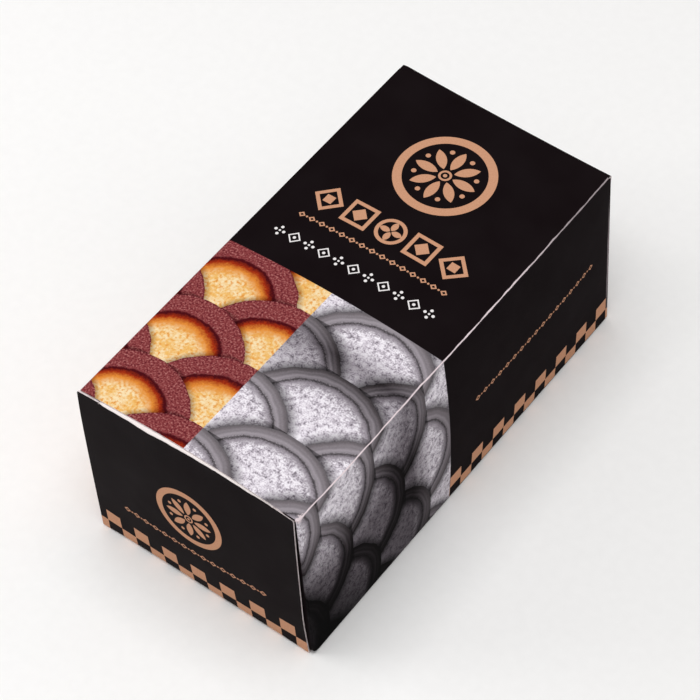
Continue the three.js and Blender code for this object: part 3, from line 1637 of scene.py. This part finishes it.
@dataclass(frozen=True)
class TopPrint(PanelPrint):
    """The top and its two long folds."""

    name: str = "top_ink"
    rosette: Rosette = Rosette(radius=13.4, ring_width=2.4)
    rosette_middle: tuple[float, float] = (32.1, 105.2)
    small_row: SmallRow = SmallRow(start=9.3, end=55.1, middle=74.4)
    picture_split: float = 32.4
    crack_and_highlight_grain: Grain = Grain(1.0, seed=51.0, detail=3.0, stretch=(1.0, 5.0))
    waver: Grain = Grain(5.0, seed=54.0, stretch=(9.0, 1.0))
    waver_spread: float = 0.5
    crack_and_highlight_width: tuple[float, float] = (0.6, -0.08)
    crack_and_highlight_blur: float = 0.16
    crack_worn: tuple[float, float] = (112.0, 84.0)
    crack_and_highlight_strength: tuple[float, float] = (0.45, 1.0)
    lip_from: float = 60.0
    lip_slope: float = 0.06
    lip_blur: float = 0.1

    def draw(self, canvas: Canvas) -> None:
        """Adds the ornaments, the two pictured fields and the cracked and crushed ink of the folds.

        Args:
            canvas: What to print on.
        """
        place = canvas.place
        rosette = self.rosette.draw(place.about(*self.rosette_middle))
        lay_copper(canvas, union(rosette, TitleRow().draw(place), self.small_row.draw(place)).inked())
        canvas.cover(FineRow().draw(place).inked(), INKS.white)
        self.lay_picture(canvas, self.paint_fields)
        waver = (canvas.grain(self.waver) - 0.5) * self.waver_spread
        least, most = self.crack_and_highlight_strength
        strength = place.along.step(*self.crack_worn) * (most - least) + least
        half_width = canvas.grain(self.crack_and_highlight_grain) * self.crack_and_highlight_width[0] + self.crack_and_highlight_width[1]
        lay_crack_and_highlight(canvas, place.across - WIDTH + waver, half_width, self.crack_and_highlight_blur, strength)
        lip = place.along - (place.across - self.lip_from) * self.lip_slope
        canvas.cover(lip.inked(self.lip_blur), INKS.black)
        CrushedCorner().bare(canvas)

    def paint_fields(self, canvas: Canvas) -> None:
        """Paints the picture's warm field and its grey one, side by side.

        Args:
            canvas: What to paint on.
        """
        WarmPattern().paint(canvas)
        on_grey = canvas.place.across.flipped(self.picture_split).inked(self.picture_blur)
        canvas.cover(on_grey, canvas.apart(GreyPattern().paint))


@dataclass(frozen=True)
class SidePrint(PanelPrint):
    """The right side, or the left one, which mirrors it."""

    side: Side = Side.RIGHT
    finish: InkFinish = InkFinish(specular=0.012)
    small_row: SmallRow = SmallRow(start=68.7, end=121.3, middle=26.4)
    checkers: Checkers = Checkers(start=58.0, square=4.72)
    # The pale line along the rear fold is a painted highlight of the rounded fold, laid in the colour of
    # cracked ink and strongest halfway down.
    crack_and_highlight_grain: Grain = Grain(1.0, seed=53.0, detail=3.0, stretch=(6.0, 1.0))
    crack_and_highlight: float = 129.25
    crack_and_highlight_width: tuple[float, float] = (0.7, -0.05)
    crack_and_highlight_blur: float = 0.2
    highlight_middle: float = 32.0
    highlight_reach: tuple[float, float] = (24.0, 8.0)
    crack_and_highlight_strength: float = 0.33
    # The dust flap past the front fold is printed black: painted shade in the gap behind the front closure.
    gap_shade_start: float = -0.4
    gap_shade_blur: float = 0.1

    def draw(self, canvas: Canvas) -> None:
        """Adds the fine row, the checkers, the pictured field, a painted highlight along the rear fold,
        painted shade over the front dust flap and, on the right, the crushed corner.

        Args:
            canvas: What to print on.
        """
        place = canvas.place
        right = self.side is Side.RIGHT
        down = place.across - WIDTH if right else place.across * -1.0
        row = self.small_row.draw(Place(place.along, down)).inked()
        lay_copper(canvas, row.most(self.checkers.mask(place.along, down)))
        self.lay_picture(canvas, (GreyPattern() if right else WarmPattern()).paint)
        # Painted highlight along the rear fold, in the colour of cracked ink, strongest halfway down.
        half_width = canvas.grain(self.crack_and_highlight_grain) * self.crack_and_highlight_width[0] + self.crack_and_highlight_width[1]
        strength = (down - self.highlight_middle).size().step(*self.highlight_reach) * self.crack_and_highlight_strength
        lay_crack_and_highlight(canvas, place.along - self.crack_and_highlight, half_width, self.crack_and_highlight_blur, strength)
        # Painted shade: black over the dust flap past the front fold, so the gap behind the front closure
        # reads dark.
        canvas.cover((place.along - self.gap_shade_start).inked(self.gap_shade_blur), INKS.black)
        if right:
            CrushedCorner().bare(canvas)


@dataclass(frozen=True)
class EndPrint(PanelPrint):
    """A closing panel, whose ink stops unevenly before the tuck fold, a little later at its left end."""

    name: str = "end_ink"
    rosette: Rosette = Rosette(radius=10.2, ring_width=1.85)
    rosette_middle: tuple[float, float] = (32.4, 25.6)
    small_row: SmallRow = SmallRow(start=9.5, end=54.8, middle=40.35, half_height=0.95)
    checkers: Checkers = Checkers(start=1.96, square=4.65)
    ink_end: float = 0.04
    waver: Grain = Grain(6.0, seed=61.0, detail=3.0, stretch=(1.0, 4.0))
    waver_spread: float = 0.8
    ink_blur: float = 0.18
    slit_reach: tuple[float, float] = (11.0, 6.5)
    slit_rise: float = 0.25

    def draw(self, canvas: Canvas) -> None:
        """Adds the rosette, the fine row, the checkers and the bare tuck flap.

        Args:
            canvas: What to print on.
        """
        place = canvas.place
        copper = union(self.rosette.draw(place.about(*self.rosette_middle)), self.small_row.draw(place))
        lay_copper(canvas, copper.inked().most(self.checkers.mask(place.across, place.along)))
        waver = canvas.grain(self.waver) * self.waver_spread
        rise = place.across.step(*self.slit_reach) * self.slit_rise
        before_end = (canvas.past + waver - rise).flipped(self.ink_end)
        canvas.cover(before_end.inked(self.ink_blur), INKS.board)


@dataclass(frozen=True)
class BoardFinish:
    """The two finishes that all sheets share, beside their print: the back and the cut edges."""

    back: BareBoard = BareBoard("board_back", srgb("CFC6BE"), srgb("B5ABA2"))
    cut: BareBoard = BareBoard(
        "board_cut", srgb("E2D7D7"), srgb("C3B6B7"), fibres=Grain(1.5, seed=31.0, detail=3.0)
    )

    def bare(self) -> tuple[bpy.types.Material, bpy.types.Material]:
        """Makes both finishes."""
        return self.back.material(), self.cut.material()


# Where a sheet runs on into another, as rows and columns of its grid
EVERY = slice(None)
SLEEVE_JOINTS = ((-1, EVERY), (EVERY, 0), (EVERY, -1))
BOTTOM_JOINTS = ((0, EVERY), (EVERY, 0))
SIDE_JOINTS = ((EVERY, 0), (EVERY, -1))
HINGE_JOINTS = ((0, EVERY),)

# Places and the number of steps that lead to each: along the sleeve, as shares of the way down a
# side, and as parts of a closing panel's strip
ALONG_STEPS = (
    (0.0, 0),
    (0.5, 3),
    (1.1, 3),
    (2.4, 4),
    (8.0, 4),
    (LENGTH - 8.0, 38),
    (LENGTH - 2.4, 4),
    (LENGTH - 1.1, 4),
    (LENGTH - 0.5, 3),
    (LENGTH, 3),
)
DOWN_STEPS = ((0.0, 0), (0.04, 4), (0.96, 20), (1.0, 4))
FACE_STEPS = ((0.0, 0), (1.0, 2), (2.0, 8), (2.04, 2), (2.96, 24), (3.0, 2))
TUCK_STEPS = ((3.0, 0), (4.0, 8), (5.0, 5))
SHOULDER_PARTS = (3.3, 3.6, 4.0)
FOLD_STEPS = 8
MARGIN_STEPS = 3
ACROSS_STEPS = 18
BOTTOM_STEPS = 20
GLUE_STEPS = 4
FLAP_STEPS = 6
SLIT_STEPS = 20
SHOULDER_STEPS = 5

# Distances from a shoulder's outer edge that its rounded corner needs
ROUNDING = np.array([0.03, 0.1, 0.2, 0.35, 0.5])


@dataclass
class Sleeve:
    """The four panels around the cake, with their dust flaps and the glue flap."""

    form: CartonForm
    front: EndForm
    back: EndForm
    top_margin: float = 6.0
    top_edge: float = 0.05
    corner_round: tuple[float, float] = (0.5, 0.9)
    inked_edge: tuple[float, float] = (60.5, 65.9)
    notch_length: float = 2.4
    notch_height: float = 2.0
    relief_length: float = 1.2
    relief_height: float = 1.25
    flap_taper: float = 0.25
    flap_start: float = 0.6
    flap_drop: float = 1.5
    flap_drop_reach: float = 1.2
    flap_lift_at_back: float = 1.2
    corner_edge: tuple[float, float] = (0.9, 0.5)
    glue_flap: float = 12.0
    glue_taper: float = 0.3
    lip_setback: float = 0.8
    lip_setback_at_corner: float = 0.15
    back_notch: float = 1.0

    def build(self, bare: Sequence[bpy.types.Material]) -> None:
        """Makes the four panels.

        Args:
            bare: The finishes of bare board.
        """
        self.top_panel().build([TopPrint().material(), *bare])
        for side in Side:
            ink = SidePrint(f"{side.name.lower()}_ink", side=side)
            self.side_panel(side).build([ink.material(), *bare])
        self.bottom_panel().build([PanelPrint().material(), *bare])

    def _shares(self) -> np.ndarray:
        """Gives places along a panel as shares of its length."""
        return spaced(*ALONG_STEPS) / self.form.length

    @staticmethod
    def _flat(around: np.ndarray, along: np.ndarray) -> np.ndarray:
        """Gives places on the blank, which are the panel's own."""
        return stack(around, along, 0.0)

    def top_panel(self) -> BoardSheet:
        """Gives the top with both long folds.

        Returns:
            Its sheet.
        """
        form, half = self.form, self.form.width / 2
        around = spaced(
            (-form.fold, 0),
            (form.fold, FOLD_STEPS),
            (self.top_margin, MARGIN_STEPS),
            (form.width - self.top_margin, ACROSS_STEPS),
            (form.width - form.fold, MARGIN_STEPS),
            (form.width + form.fold, FOLD_STEPS),
        )
        first, share = grid(around, self._shares())
        past = np.clip(np.abs(first - half) - half + form.fold, 0, None) / (2 * form.fold)
        start = self.top_edge + np.where(first < half, *self.corner_round) * past**2
        end = form.length - self.back.start(np.clip(first, 0, form.width))
        inked = (0, (around > self.inked_edge[0]) & (around < self.inked_edge[1]))
        second = start + (end - start) * share
        patch = Patch(form.sleeve, self._flat, first, second, (*SLEEVE_JOINTS, inked))
        return BoardSheet("top_panel", [patch], form.board)

    def side_panel(self, side: Side) -> BoardSheet:
        """Gives a side with its dust flaps.

        Args:
            side: Which one.

        Returns:
            Its sheet.
        """
        form = self.form
        flap = form.flap_length * np.linspace(1, 0, FLAP_STEPS + 1)[:-1]
        along = np.concatenate([-flap, spaced(*ALONG_STEPS), form.length + flap[::-1]])
        share, second = grid(spaced(*DOWN_STEPS), along)
        past_front = np.clip(-second, 0, None)
        past_back = np.clip(second - form.length, 0, None)
        taper = self.flap_taper * (past_front + past_back)
        flaps = ease(past_front + past_back, 0.0, self.flap_start)
        relief = np.clip(1 - (form.length - second) / self.relief_length, 0, 1)
        top = form.fold + (self.relief_height - form.fold) * np.maximum(relief, flaps) + taper
        foot = form.height - form.fold if side is Side.RIGHT else form.height
        notch = self.notch_height * np.clip(1 - second / self.notch_length, 0, 1)
        notch = notch - self.flap_drop * ease(past_front, 0.0, self.flap_drop_reach)
        low = np.minimum(foot, form.height - notch) - taper
        low = np.where(past_back > 0, foot - self.flap_lift_at_back - taper, low)
        down = top + (low - top) * share
        patch = Patch(partial(form.wall, side), partial(form.wall_blank, side), down, second, SIDE_JOINTS)
        name = f"{side.name.lower()}_panel"
        return BoardSheet(name, [patch], form.board, inward=side is Side.LEFT)

    def bottom_panel(self) -> BoardSheet:
        """Gives the bottom with its right fold and the glue flap inside the left side.

        Returns:
            Its sheet.
        """
        form = self.form
        reach = form.width - form.board
        across = spaced(
            (-form.fold, 0),
            (form.fold, FOLD_STEPS),
            (reach - form.fold, BOTTOM_STEPS),
            (reach + form.fold, FOLD_STEPS),
            (reach + self.glue_flap, GLUE_STEPS),
        )
        first, share = grid(across, self._shares())
        far, near = self.corner_edge
        corner = np.maximum(ease(first, far, near), ease(first, reach - far, reach - near))
        taper = self.glue_taper * np.clip(first - reach, 0, None)
        start = self.front.start(np.clip(form.width - first, 0, form.width))
        start = start + (self.notch_length - start) * corner + taper
        setback = self.lip_setback * hump(first - reach / 2, reach / 2) + self.lip_setback_at_corner
        end = form.length - setback - taper - self.back_notch * corner
        patch = Patch(form.bottom, self._flat, first, start + (end - start) * share, BOTTOM_JOINTS)
        return BoardSheet("bottom_panel", [patch], form.board)


@dataclass
class Closure:
    """A closing panel with its shoulders and its tuck flap."""

    name: str
    ends: EndForm
    tuck_taper: float = 3.0
    corner_round: float = 0.5
    foot_spread: tuple[float, float] = (0.0, 0.5)
    foot_reach: float = 2.0
    foot_parts: tuple[float, float] = (2.14, 1.98)

    def build(self, bare: Sequence[bpy.types.Material]) -> None:
        """Makes the panel.

        Args:
            bare: The finishes of bare board.
        """
        self.sheet().build([EndPrint().material(), *bare])

    def sheet(self) -> BoardSheet:
        """Gives the panel's sheet, as one strip with a shoulder at each side.

        Returns:
            The sheet.
        """
        ends, width = self.ends, self.ends.form.width
        edges = (ends.from_left, width - ends.from_right)
        slits = (ends.shoulder, width - ends.shoulder)
        strip = np.concatenate([spaced(*FACE_STEPS), spaced(*TUCK_STEPS)[1:]])
        first, second = grid(spaced((slits[0], 0), (slits[1], SLIT_STEPS)), strip)
        taper = self.tuck_taper * np.clip(second - Part.TUCK_FLAP, 0, 1) ** 2
        first = width / 2 + (first - width / 2) * (1 - taper / (width / 2))
        patches = [Patch(ends.placed(ends.surface), ends.blank, first, second, HINGE_JOINTS)]
        for sizes in zip(edges, slits, ends.shoulder_lift, self.foot_spread):
            patches.append(self.shoulder(*sizes))
        return BoardSheet(self.name, patches, ends.form.board)

    def shoulder(self, outer: float, slit: float, lift: float, spread: float) -> Patch:
        """Gives one shoulder, with its free corner rounded.

        Args:
            outer: Where its outer edge lies, from the left.
            slit: Where the slit lies that frees it from the tuck flap.
            lift: How far it stands up past the tuck fold.
            spread: How far its foot spreads past its outer edge.

        Returns:
            The patch.
        """
        ends = self.ends
        inward = 1 if slit > outer else -1
        steps = np.concatenate([np.linspace(outer, slit, SHOULDER_STEPS + 1), outer + inward * ROUNDING])
        first, second = grid(np.sort(steps), np.append(spaced(*FACE_STEPS), SHOULDER_PARTS))
        off = np.clip(1 - np.abs(first - outer) / self.corner_round, 0, 1)
        round_off = self.corner_round * (1 - np.sqrt(1 - off**2))
        reach = 1 + (lift - round_off) / ends.form.fold
        second = np.where(second > Part.TUCK_FOLD, Part.TUCK_FOLD + (second - Part.TUCK_FOLD) * reach, second)
        near = np.clip(1 - np.abs(first - outer) / self.foot_reach, 0, 1)
        first = first + spread * near * ease(second, *self.foot_parts)
        joints = (*HINGE_JOINTS, (slice(None, -2), -1 if inward > 0 else 0))
        return Patch(ends.placed(ends.shoulder_surface), ends.shoulder_blank, first, second, joints)


def towards(azimuth: float, elevation: float) -> Vector:
    """Gives the direction from the carton to something that stands around it.

    Args:
        azimuth: Degrees around from the front, towards the right side.
        elevation: Degrees up from the floor.

    Returns:
        The direction, of length 1.
    """
    a, e = math.radians(azimuth), math.radians(elevation)
    return Vector((math.sin(a) * math.cos(e), -math.cos(a) * math.cos(e), math.sin(e)))


@dataclass(frozen=True)
class Viewpoint:
    """Where the camera stands, in degrees and millimetres, and its lens."""

    azimuth: float = 40.643
    elevation: float = 52.115
    roll: float = 4.223
    distance: float = 788.3
    lens: float = 159.77
    sensor: float = 36.0
    nearest: float = 50.0
    aim: tuple[float, float, float] = (0.0, 0.0, 28.75)
    shifted: tuple[float, float] = (1.65, -0.40)

    def place(self) -> None:
        """Makes the camera and gives the scene to it."""
        back = towards(self.azimuth, self.elevation)
        roll = math.radians(self.roll)
        level = (-back).cross(Vector((0, 0, 1))).normalized()
        upright = level.cross(-back)
        right = level * math.cos(roll) - upright * math.sin(roll)
        up = level * math.sin(roll) + upright * math.cos(roll)
        spot = Vector(self.aim) - right * self.shifted[0] - up * self.shifted[1] + back * self.distance
        data = bpy.data.cameras.new("camera")
        data.lens = self.lens
        data.sensor_width = self.sensor
        data.clip_start = self.nearest * MM
        camera = bpy.data.objects.new("camera", data)
        turned = Matrix((right, up, back)).transposed().to_4x4()
        camera.matrix_world = Matrix.Translation(spot * MM) @ turned
        bpy.context.scene.collection.objects.link(camera)
        bpy.context.scene.camera = camera


@dataclass(frozen=True)
class SoftLight:
    """A square light that faces the carton, in degrees, metres and watts."""

    name: str
    azimuth: float
    elevation: float
    distance: float
    width: float
    power: float

    def place(self) -> None:
        """Makes the light."""
        away = towards(self.azimuth, self.elevation)
        data = bpy.data.lights.new(self.name, "AREA")
        data.shape = "SQUARE"
        data.size = self.width
        data.energy = self.power
        light = bpy.data.objects.new(self.name, data)
        light.location = away * self.distance
        light.rotation_euler = away.to_track_quat("Z", "Y").to_euler()
        bpy.context.scene.collection.objects.link(light)


@dataclass(frozen=True)
class Studio:
    """The floor, the lights and the picture's tones."""

    lights: Sequence[SoftLight] = (
        SoftLight("overhead", azimuth=0.0, elevation=86.0, distance=1.2, width=0.9, power=8.9),
        SoftLight("key", azimuth=50.0, elevation=63.0, distance=1.5, width=1.1, power=3.1),
        SoftLight("front_left", azimuth=-60.0, elevation=22.0, distance=0.7, width=0.4, power=1.6),
        SoftLight("back_right", azimuth=120.0, elevation=22.0, distance=0.7, width=0.4, power=0.47),
    )
    sky: float = 0.25
    floor_half: float = 2500.0
    floor_steps: int = 24
    paper: BareBoard = BareBoard(
        "floor_paper",
        srgb("FAF9F8"),
        srgb("F8F7F6"),
        stops=(0.3, 0.7),
        fibres=Grain(3.0, seed=71.0, detail=3.0),
        roughness=0.85,
        specular=0.1,
        relief=0.005,
    )

    def build(self) -> None:
        """Makes the floor, the lights and the sky."""
        self._floor()
        for light in self.lights:
            light.place()
        world = bpy.data.worlds.new("sky")
        world.use_nodes = True
        sky = world.node_tree.nodes["Background"]
        sky.inputs["Color"].default_value = (1.0, 1.0, 1.0, 1.0)
        sky.inputs["Strength"].default_value = self.sky
        bpy.context.scene.world = world
        bpy.context.scene.view_settings.view_transform = "Standard"

    def _floor(self) -> None:
        """Makes a plain pale floor of matt paper."""
        places = np.linspace(-self.floor_half, self.floor_half, self.floor_steps + 1)
        x, y = np.meshgrid(places, places)
        points = stack(x, y, 0.0).reshape(-1, 3)
        mesh = bpy.data.meshes.new("floor")
        mesh.from_pydata(points * MM, [], cells(np.arange(x.size).reshape(x.shape)).tolist())
        keep_blank(mesh, points)
        mesh.materials.append(self.paper.material())
        floor = bpy.data.objects.new("floor", mesh)
        bpy.context.scene.collection.objects.link(floor)


# How far the front closing panel's free edge stands out, at places from the left
FRONT_GAPE = (
    (0.0, 0.48),
    (8.0, 0.62),
    (15.0, 0.76),
    (22.0, 1.05),
    (29.0, 0.8),
    (38.0, 0.48),
    (48.0, 0.4),
    (57.0, 0.18),
    (WIDTH, 0.12),
)


def main() -> None:
    """Builds the studio and the carton, and reports each piece."""
    logging.basicConfig(level=logging.INFO, format="%(name)s: %(message)s")
    Viewpoint().place()
    Studio().build()
    form = CartonForm()
    front = EndForm(form, End.FRONT, left_gape=0.95, right_gape=0.38, top_gape=FRONT_GAPE)
    back = EndForm(form, End.BACK, from_left=0.3, hinge_skew=0.9, hinge_corner=0.35, hinge_round=0.35)
    bare = BoardFinish().bare()
    Sleeve(form, front, back).build(bare)
    Closure("front_closure", front).build(bare)
    Closure("back_closure", back).build(bare)


if __name__ == "__main__":
    main()
